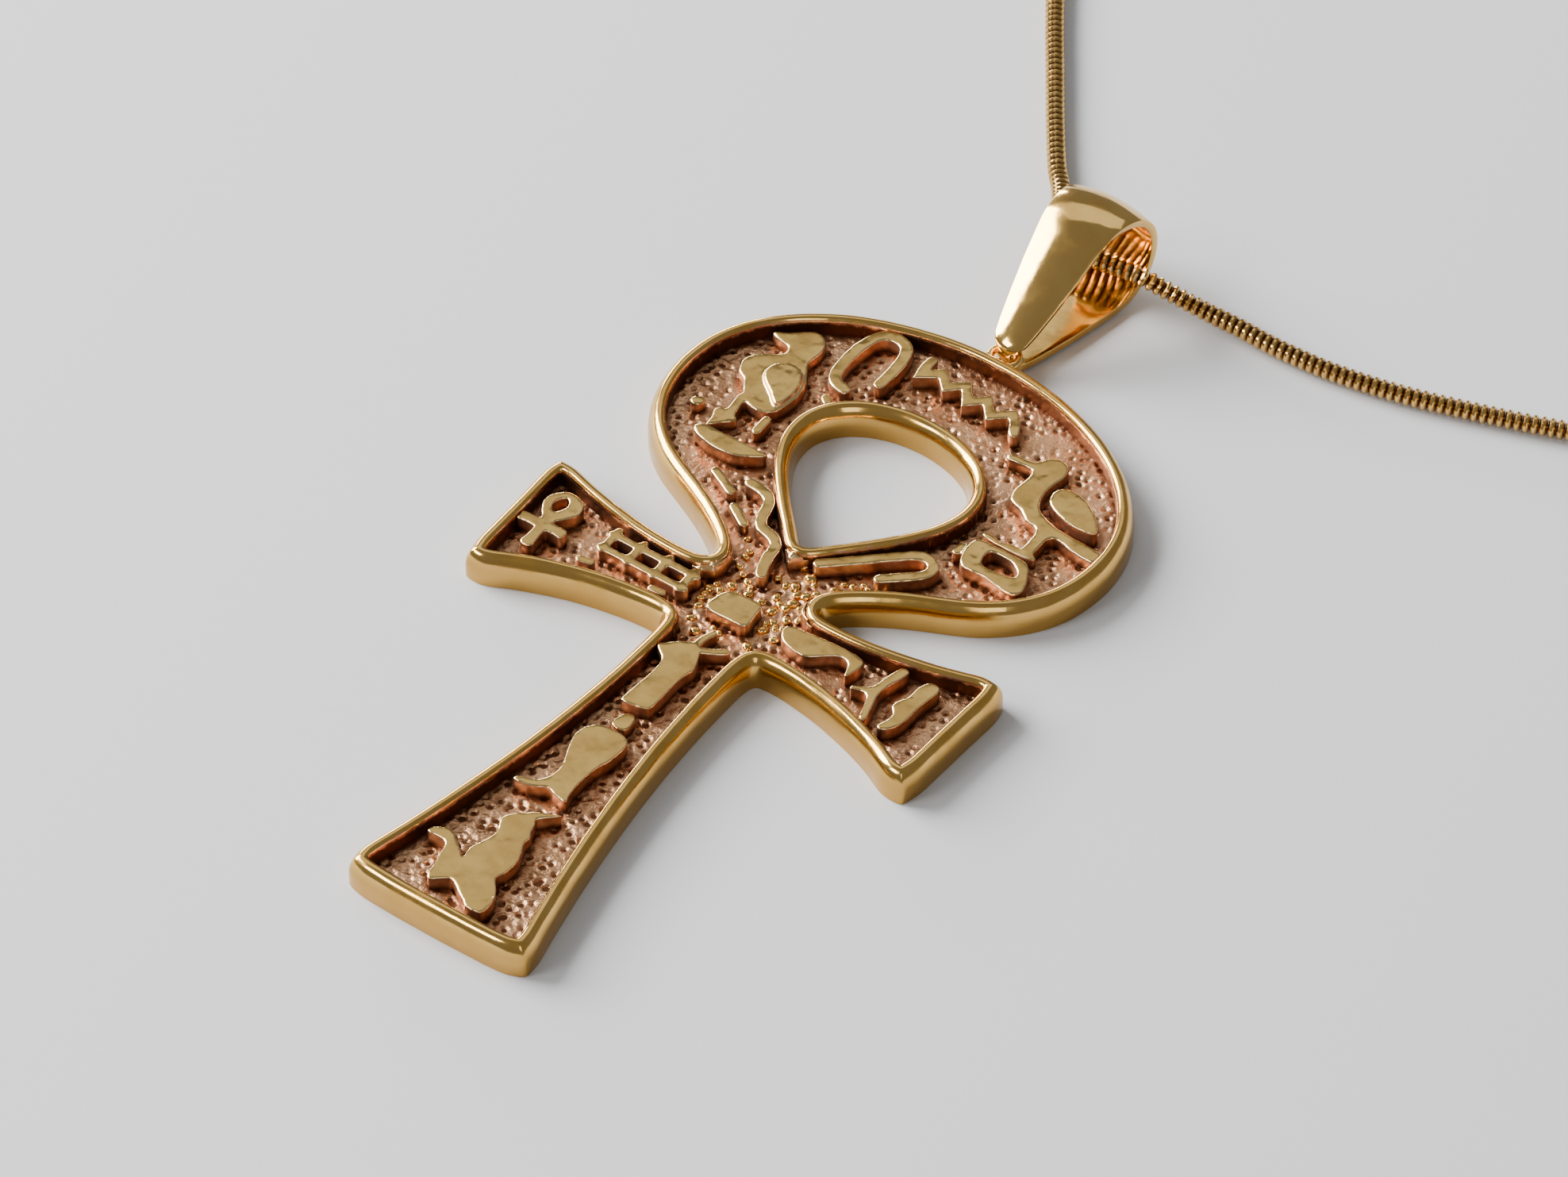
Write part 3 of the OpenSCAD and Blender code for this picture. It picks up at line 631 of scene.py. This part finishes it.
def make_field_gold():
    material, tree, shader, handled = start_gold("granulated_field_gold", 0.3, 0.12)
    place = add(tree, "ShaderNodeTexCoord").outputs["Object"]
    patch = noise(tree, place, 1.8 * MM, 4.0)
    ragged = calc(tree, "SUBTRACT", height_of(tree, place), calc(tree, "MULTIPLY", patch, 0.12 * MM))
    grain_top = ramp(tree, ragged, FIELD_Z - 0.28 * MM, FIELD_Z - 0.05 * MM)
    wander = calc(tree, "MULTIPLY", patch, 0.5 * MM)
    from_sign = calc(tree, "ADD", mark(tree, "from_sign"), wander)
    from_edge = calc(tree, "ADD", mark(tree, "from_edge"), wander)
    # Painted shade: beside the walls of the signs and under the rims the grains are painted dark
    clear = calc(
        tree, "MULTIPLY",
        ramp(tree, from_sign, 0.3 * MM, 0.8 * MM),
        ramp(tree, from_edge, RIM_WIDTH + 0.25 * MM, RIM_WIDTH + 0.6 * MM),
    )
    rubbed_and_lit = calc(tree, "MULTIPLY", grain_top, ramp(tree, clear, 0.0, 1.0, 0.2, 1.0))
    pink = blend_colours(tree, ramp(tree, patch, 0.35, 0.7), PINK, PINK_DEEP)
    gold = blend_colours(tree, rubbed_and_lit, DARK_FIELD, pink)
    pores = noise(tree, place, 0.14 * MM, 3.0)
    finish_gold(tree, shader, gold, handled.outputs["Roughness"], pores, 0.04 * MM)
    return material


wear(ground, make_field_gold())
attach(ground, "root")
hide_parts("ankh")
bpy.data.objects.remove(sheet)


# Beads: small balls of gold lie around the crossing, where the four parts of the pattern meet. Each was
# flattened a little when it was pressed in, and all were rubbed bright.
BEAD_RADIUS = 0.5 * MM
BEAD_DENT = 0.12 * MM
BEAD_LIFT = 0.03 * MM
BEAD_TURN = 2.4
# A bead's length, width and height for a size of one
BEAD_FORM = (1.4, 1.15, 0.95)
# The larger beads: right of the middle, up the ankh, size, all in millimetres
BEADS = (
    (1.2, 4.9, 0.5), (0.9, 4.0, 0.42), (1.3, 3.6, 0.4), (1.75, 3.75, 0.42), (2.3, 3.9, 0.36),
    (3.0, 4.9, 0.4), (3.7, 5.5, 0.38), (4.35, 5.7, 0.42), (1.5, 3.0, 0.42), (1.05, 2.6, 0.36),
    (1.4, 2.55, 0.4), (1.0, 2.0, 0.4), (2.2, 0.45, 0.4), (-1.6, 2.3, 0.42), (-1.9, 1.7, 0.36),
    (-1.75, 0.9, 0.4), (-2.1, 0.3, 0.36), (1.5, 1.4, 0.38), (1.9, 1.9, 0.4), (2.4, 2.2, 0.36),
    (1.35, 0.7, 0.4), (-1.2, -1.2, 0.4), (1.4, -0.6, 0.42), (1.75, -1.0, 0.36), (-0.6, 2.3, 0.4),
    (0.2, 2.2, 0.36), (-1.1, 2.9, 0.38), (0.6, 2.9, 0.36), (0.5, 5.4, 0.4), (-1.9, -0.6, 0.36),
)
# Stretches that are strewn with small beads: left, right, lower and upper end, how many beads
STREWN = ((-3.2, 3.2, -2.6, 6.0, 26), (2.5, 6.0, 3.6, 6.2, 6), (-4.5, -2.2, 0.5, 3.2, 4))
STREWN_SEED = 5
STREWN_TRIES = 6000
STREWN_GRID = 0.05
SMALL_SIZES = (0.24, 0.36)
SMALLEST = 0.28
# How far a small bead's middle stays from the signs and from the outline, in millimetres, and the share
# of its size that is added; from another bead it stays a share of both their sizes
SIGN_MARGIN = 0.12
RIM_MARGIN = 0.95
SIGN_SHARE = 0.55
RIM_SHARE = 0.6
BEAD_SHARE = 0.55
sign_walls = seen_from_above(signs, lambda vertex: vertex.co.z > FIELD_Z + 0.1 * MM)


def is_free(across, up, size, beads):
    """Whether a bead there clears the signs, the rims and the other beads, and has the field below it."""
    from_sign = distance(sign_walls, across * MM, up * MM) / MM
    from_edge = distance(outline, across * MM, up * MM) / MM
    return (
        from_sign >= SIGN_MARGIN + SIGN_SHARE * size
        and from_edge >= RIM_MARGIN + RIM_SHARE * size
        and all(math.dist((across, up), bead[:2]) >= BEAD_SHARE * (size + bead[2]) for bead in beads)
        and ground.ray_cast(Vector((across, up, 10)) * MM, Vector((0, 0, -1)))[0]
    )


def to_grid(measure):
    return STREWN_GRID * round(measure / STREWN_GRID)


def small_beads(larger):
    """Small beads at random places that are free, as right, up and size."""
    strewing = random.Random(STREWN_SEED)
    beads = list(larger)
    for left, right, low, high, wanted in STREWN:
        enough = len(beads) + wanted
        for _ in range(STREWN_TRIES):
            across, up = strewing.uniform(left, right), strewing.uniform(low, high)
            size = strewing.uniform(*SMALL_SIZES)
            if is_free(across, up, size, beads):
                beads.append((across, up, size))
            if len(beads) == enough:
                break
    strewn = beads[len(larger):]
    return [(to_grid(across), to_grid(up), max(SMALLEST, round(size, 2))) for across, up, size in strewn]


bpy.ops.object.select_all(action="DESELECT")
bpy.ops.mesh.primitive_ico_sphere_add(subdivisions=3, radius=BEAD_RADIUS)
first_bead = bpy.context.object
shape_with(first_bead, "dent", "DISPLACE", texture=lumps, strength=BEAD_DENT)
bead_pieces = []
for index, (right, up, size) in enumerate([*BEADS, *small_beads(BEADS)]):
    bead = copy_of(first_bead, "bead")
    bead.scale = [size * measure for measure in BEAD_FORM]
    bead.rotation_euler = (0, 0, BEAD_TURN * index)
    bead.location = (right * MM, up * MM, FIELD_Z + BEAD_LIFT)
    only(bead)
    bpy.ops.object.transform_apply(location=True, rotation=True, scale=True)
    bead_pieces.append(bead)
bpy.data.objects.remove(first_bead)
only(*bead_pieces)
bpy.ops.object.join()
beads = bpy.context.view_layer.objects.active
beads.name = "crossing_beads"
bpy.ops.object.shade_smooth()
wear(beads, polished_gold)
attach(beads, "root")
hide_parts("ankh")


# Bail: one strip of gold sheet, cut narrow at the ring and wide at the fold, crowned across its width,
# bent round the ring and folded over the chain. It was polished all over.
BAIL_THICK = 0.42 * MM
BAIL_LEAN = math.radians(2.5)
RING_PLAY = 0.15 * MM
FOOT_IN = RING_WIRE / 2 + RING_PLAY
FOOT_BEND = FOOT_IN + BAIL_THICK / 2
CROWN = 0.32 * MM
# Half width of the strip: share of the bail's length from the foot, share of its full width
BAIL_WIDTHS = (
    (0, 0.066), (0.028, 0.07), (0.045, 0.155), (0.07, 0.2), (0.13, 0.24), (0.24, 0.295), (0.4, 0.365),
    (0.6, 0.43), (0.8, 0.48), (1.02, 0.505),
)
BAIL_WIDE = 4.4 * MM
BAIL_LONG = 9.8 * MM
BAIL_HIGH = 5.7 * MM
BAIL_EDGE = 0.09 * MM
FOLD_LIFT = 0.1 * MM
BAIL_COLUMNS = 140
BAIL_ROWS = 8
FOOT_STEPS = 6
FOLD_STEPS = 24
# The strip stays nearly flat at the back, up to this share of its length, and takes its crown over the
# next share, on the way round the fold
FLAT_BACK = 0.3
CROWNING = 0.25
FLAT_CROWN = 0.1
foot_place = Vector((ring_place.y + (RING_IN + RING_WIRE) / 2, RING_Z))
bail_start = foot_place.x - FOOT_IN - BAIL_THICK
fold_place = Vector((bail_start + BAIL_LONG - BAIL_HIGH / 2, BAIL_HIGH / 2 + FOLD_LIFT))
FOLD_BEND = BAIL_HIGH / 2 - BAIL_THICK / 2


def side_of_bail():
    """The middle of the strip seen from the side, from the back of the foot round the fold to it again."""
    gap = fold_place - foot_place
    tilt = math.atan2(gap.y, gap.x)
    spread = math.acos((FOOT_BEND - FOLD_BEND) / gap.length)
    foot_turn = (math.pi - spread) / FOOT_STEPS
    fold_turn = 2 * spread / FOLD_STEPS
    turns = [(foot_place, FOOT_BEND, tilt - math.pi + t * foot_turn) for t in range(FOOT_STEPS + 1)]
    turns += [(fold_place, FOLD_BEND, tilt - spread + t * fold_turn) for t in range(FOLD_STEPS + 1)]
    turns += [(foot_place, FOOT_BEND, tilt + spread + t * foot_turn) for t in range(FOOT_STEPS)]
    return [middle + bend * Vector((math.cos(a), math.sin(a))) for middle, bend, a in turns]


def half_width(along):
    """Half width of the strip at that distance up the bail."""
    share = (along - bail_start) / BAIL_LONG
    for (s0, w0), (s1, w1) in zip(BAIL_WIDTHS, BAIL_WIDTHS[1:]):
        if share <= s1:
            return BAIL_WIDE * (w0 + (w1 - w0) * max(0, share - s0) / (s1 - s0))
    return BAIL_WIDE * BAIL_WIDTHS[-1][1]


way = side_of_bail()
steps = [0.0]
for a, b in zip(way, way[1:]):
    steps.append(steps[-1] + (b - a).length)
strip_long = steps[-1]

# The strip is cut flat in the XZ plane, with its length along X
bpy.ops.object.select_all(action="DESELECT")
bpy.ops.mesh.primitive_grid_add(
    x_subdivisions=BAIL_COLUMNS, y_subdivisions=BAIL_ROWS, size=1, rotation=(math.pi / 2, 0, 0)
)
bail = bpy.context.object
bail.name = "folded_bail"
bail.scale = (strip_long, 1, 1)
bpy.ops.object.transform_apply(location=True, rotation=True, scale=True)
for vertex in bail.data.vertices:
    at = vertex.co.x + strip_long / 2
    piece_of_way = max(i for i in range(len(steps) - 1) if steps[i] <= at + 1e-9)
    part = (at - steps[piece_of_way]) / (steps[piece_of_way + 1] - steps[piece_of_way])
    along = way[piece_of_way].lerp(way[piece_of_way + 1], part).x
    half = half_width(along)
    across = vertex.co.z * 2
    vertex.co.z = across * half
    bulge = CROWN * min(1, max(FLAT_CROWN, (at / strip_long - FLAT_BACK) / CROWNING))
    vertex.co.y = -bulge * (1 - across * across) * half / (BAIL_WIDE / 2)
    vertex.co.x = at
bpy.ops.object.select_all(action="DESELECT")
path_data = bpy.data.curves.new("bail_way", "CURVE")
path_data.dimensions = "2D"
line = path_data.splines.new("POLY")
line.points.add(len(way) - 1)
for point, place in zip(line.points, way):
    point.co = (place.x, place.y, 0, 1)
path = bpy.data.objects.new("bail_way", path_data)
bpy.context.scene.collection.objects.link(path)
shape_with(bail, "fold", "CURVE", object=path, deform_axis="POS_X")
bpy.data.objects.remove(path)
shape_with(bail, "thick", "SOLIDIFY", thickness=BAIL_THICK, offset=0)
shape_with(
    bail, "filed_edges", "BEVEL", width=BAIL_EDGE, segments=3, limit_method="ANGLE",
    angle_limit=math.radians(50),
)
# Its side view stands up: along the way is up the ankh, and its width lies across
bail.rotation_euler = Euler((math.pi / 2, 0, math.pi / 2))
bpy.ops.object.transform_apply(location=True, rotation=True, scale=True)
edit()
outward()
bpy.ops.transform.rotate(value=BAIL_LEAN, orient_axis="Z", center_override=(0, foot_place.x, 0))
done()
bpy.ops.object.shade_smooth_by_angle(angle=math.radians(40))
wear(bail, polished_gold)
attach(bail, "root")
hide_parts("bail")


# Chain: a snake chain of bent gold plates that lock into a round, ribbed cord. It runs through the bail's
# fold and lies on the ground in one loop. The route is the one of the part's own chain.
CHAIN_THICK = 1.0 * MM
RIB_PITCH = 0.43 * MM
# A rib's radius and length before it is shaped, and its radius where its edges dip
RIB_BLANK = 0.47 * CHAIN_THICK
RIB_LONG = 0.94 * RIB_PITCH
RIB_DIP = 0.36 * CHAIN_THICK
# What lies within this distance of a rib's middle belongs to its crown, which is narrowed a little
RIB_CROWN = 0.3 * RIB_PITCH
CROWN_NARROWED = 0.8
# How far a rib's edge waves to and fro round the chain
RIB_WAVE = 0.05 * RIB_PITCH
# A point of the route below this height lies on the ground
ON_GROUND = 0.56 * MM
CLASP_PLAY = 0.15 * MM
CHAIN_GOLD = (0.80, 0.50, 0.16, 1)
CHAIN_GOLD_DEEP = (0.60, 0.35, 0.10, 1)
CHAIN_DIP_SHADE = (0.20, 0.09, 0.028, 1)
clasp_low, clasp_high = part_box("clasp")
clasp_place = (clasp_low + clasp_high) / 2
chain_gap = Vector(((clasp_high.x - clasp_low.x) / 2 + CLASP_PLAY, 0, 0))
# The route from one side of the clasp to the other, in millimetres
CHAIN_ROUTE = (
    (40.5, 192.6, 1), (46, 191, 0.52), (57, 186, 0.52), (69, 177, 0.52), (80.5, 163.5, 0.52),
    (88, 146, 0.52), (91, 126.5, 0.52), (89.5, 106, 0.52), (83, 86.5, 0.52), (72, 69.5, 0.52),
    (57, 55, 0.52), (42, 44, 0.52), (29, 37, 0.52), (20.5, 33.7, 0.52), (14.5, 32.2, 0.52),
    (10.5, 31.9, 0.52), (7.5, 32, 0.55), (5.3, 31.9, 0.7), (3.8, 31.55, 1.2), (2.5, 31.15, 1.75),
    (1.2, 31, 1.75), (0, 30.9, 1.7), (-1.3, 30.9, 1.7), (-2.5, 31.25, 1.75), (-3.3, 32.35, 1.6),
    (-3.9, 33.6, 1.2), (-4.8, 35, 0.75), (-6, 36.45, 0.53), (-7.5, 38.5, 0.52), (-10, 42.1, 0.52),
    (-14, 48, 0.52), (-20, 58, 0.52), (-27, 72, 0.52), (-33, 90, 0.52), (-35, 110, 0.52),
    (-32.5, 131, 0.52), (-25, 150.5, 0.52), (-13, 168, 0.52), (2, 182.5, 0.52), (13, 190, 0.52),
    (19.5, 192.6, 1),
)
route = [clasp_place + chain_gap, *(Vector(p) * MM for p in CHAIN_ROUTE), clasp_place - chain_gap]

bpy.ops.object.select_all(action="DESELECT")
lie_data = bpy.data.curves.new("chain_way", "CURVE")
lie_data.dimensions = "3D"
lie_data.twist_mode = "Z_UP"
lie_data.resolution_u = 16
line = lie_data.splines.new("BEZIER")
line.bezier_points.add(len(route) - 1)
for point, place in zip(line.bezier_points, route):
    point.co = place
    point.handle_left_type = point.handle_right_type = "AUTO"
lie = bpy.data.objects.new("chain_way", lie_data)
bpy.context.scene.collection.objects.link(lie)
bpy.context.view_layer.update()
# Where it lies on the ground it runs level, without a dip between two points
for point in line.bezier_points:
    if point.co.z < ON_GROUND:
        point.handle_left_type = point.handle_right_type = "FREE"
        point.handle_left.z = point.handle_right.z = point.co.z

# One rib: a short ring whose edges dip between the plates that lock into it
bpy.ops.mesh.primitive_cylinder_add(
    vertices=16, radius=RIB_BLANK, depth=RIB_LONG, end_fill_type="NGON", rotation=(0, math.pi / 2, 0)
)
chain = bpy.context.object
chain.name = "snake_chain"
bpy.ops.object.transform_apply(location=True, rotation=True, scale=True)
edit("EDGE", everything=False)
done()
for edge in chain.data.edges:
    a, b = (chain.data.vertices[i].co for i in edge.vertices)
    edge.select = abs(a.x - b.x) > 0.5 * RIB_PITCH
bpy.ops.object.mode_set(mode="EDIT")
bpy.ops.mesh.subdivide(number_cuts=2)
done()
for vertex in chain.data.vertices:
    spoke = Vector((0, vertex.co.y, vertex.co.z))
    turn = math.atan2(spoke.z, spoke.y)
    if abs(vertex.co.x) < RIB_CROWN:
        vertex.co += spoke.normalized() * (CHAIN_THICK / 2 - spoke.length)
        vertex.co.x *= CROWN_NARROWED
    else:
        vertex.co += spoke.normalized() * (RIB_DIP - spoke.length)
    vertex.co.x += RIB_WAVE * math.cos(3 * turn)
# The ribs fill the way from end to end and stop short of the clasp
rib_count = int(line.calc_length() / RIB_PITCH)
pitch = line.calc_length() / rib_count
# Where a plate dips under the next one it is painted darker as shade, so the dip is kept as a mark
crown = chain.data.attributes.new("crown", "FLOAT", "POINT")
for vertex, point in zip(chain.data.vertices, crown.data):
    point.value = 1.0 if abs(vertex.co.x) < RIB_CROWN else 0.0
    vertex.co.x += pitch / 2
shape_with(
    chain, "row", "ARRAY", fit_type="FIXED_COUNT", count=rib_count, use_relative_offset=False,
    use_constant_offset=True, constant_offset_displace=(pitch, 0, 0),
)
shape_with(chain, "follow", "CURVE", object=lie, deform_axis="POS_X")
bpy.data.objects.remove(lie)
bpy.ops.object.shade_smooth_by_angle(angle=math.radians(35))


def make_chain_gold():
    material, tree, shader, handled = start_gold("chain_gold", 0.16, 0.1)
    gold = blend_colours(tree, handled.outputs["Tone"], CHAIN_GOLD, CHAIN_GOLD_DEEP)
    # Painted shade in the dips between the ribs
    gold = blend_colours(tree, ramp(tree, mark(tree, "crown"), 0.15, 0.85), CHAIN_DIP_SHADE, gold)
    finish_gold(tree, shader, gold, handled.outputs["Roughness"], handled.outputs["Height"], 0.006 * MM)
    return material


wear(chain, make_chain_gold())
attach(chain, "root")
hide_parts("chain")


# Clasp: a plain barrel turned from gold, with the chain's two ends fixed in it, so that the necklace is
# closed. Its form is all in the part's own node, and it is polished as the bail is.
wear(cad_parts["clasp"], polished_gold)


# Ground, light and camera: a plain pale floor, soft studio light from large panels, and the camera
# where the photograph was taken, above and to the right of the foot.
FLOOR_WIDE = 4
FLOOR_DROP = 0.02 * MM
FLOOR_GREY = (0.62, 0.62, 0.63, 1)
AIR_GREY = (0.78, 0.78, 0.77, 1)
AIR_STRENGTH = 0.3
# Panels of light: turn round the object and rise in degrees, distance, width, height, power
PANELS = (
    (-85, 30, 0.7, 0.5, 0.4, 17.0),
    (-35, 36, 0.8, 0.25, 0.2, 2.5),
    (-128, 11, 0.7, 0.3, 0.1, 2.5),
    (-146, 55, 0.9, 0.9, 0.5, 1.1),
    (40, 35, 0.9, 0.3, 0.5, 1.0),
)
# The camera's turn round the object, its rise and its roll, in degrees
CAMERA_TURN = 35.69
CAMERA_RISE = 45.18
CAMERA_ROLL = 0.2
CAMERA_FAR = 357.5 * MM
CAMERA_LENS = 171.3
CAMERA_FILM = 36
LOOK_AT = Vector((0, 3.12 * MM, 1.8 * MM))
LOOK_SHIFT = (0.73 * MM, -0.63 * MM)

bpy.ops.object.select_all(action="DESELECT")
bpy.ops.mesh.primitive_plane_add(size=FLOOR_WIDE, location=(0, 0, -FLOOR_DROP))
floor = bpy.context.object
floor.name = "floor"
bpy.ops.object.transform_apply(location=True, rotation=True, scale=True)
floor_paint = bpy.data.materials.new("floor_paint")
floor_paint.use_nodes = True
floor_shader = floor_paint.node_tree.nodes["Principled BSDF"]
floor_shader.inputs["Base Color"].default_value = FLOOR_GREY
floor_shader.inputs["Roughness"].default_value = 0.7
wear(floor, floor_paint)


def direction(turn, rise):
    """The way from the object to what stands that far round it and that high, in degrees."""
    turn, rise = math.radians(turn), math.radians(rise)
    return Vector((math.sin(turn) * math.cos(rise), -math.cos(turn) * math.cos(rise), math.sin(rise)))


for turn, rise, far, wide, tall, power in PANELS:
    back = direction(turn, rise)
    bpy.ops.object.light_add(type="AREA", location=LOOK_AT + back * far)
    panel = bpy.context.object
    panel.data.shape = "RECTANGLE"
    panel.data.size = wide
    panel.data.size_y = tall
    panel.data.energy = power
    panel.rotation_euler = back.to_track_quat("Z", "Y").to_euler()

world = bpy.data.worlds.new("studio")
world.use_nodes = True
air = world.node_tree.nodes["Background"]
air.inputs["Color"].default_value = AIR_GREY
air.inputs["Strength"].default_value = AIR_STRENGTH
bpy.context.scene.world = world

back = direction(CAMERA_TURN, CAMERA_RISE)
aim = back.to_track_quat("Z", "Y")
right, up = aim @ Vector((1, 0, 0)), aim @ Vector((0, 1, 0))
bpy.ops.object.camera_add(
    location=LOOK_AT + back * CAMERA_FAR + right * LOOK_SHIFT[0] + up * LOOK_SHIFT[1]
)
camera = bpy.context.object
camera.data.lens = CAMERA_LENS
camera.data.sensor_width = CAMERA_FILM
camera.data.clip_start = 0.01
camera.rotation_mode = "QUATERNION"
camera.rotation_quaternion = aim @ Euler((0, 0, math.radians(CAMERA_ROLL))).to_quaternion()
bpy.context.scene.camera = camera
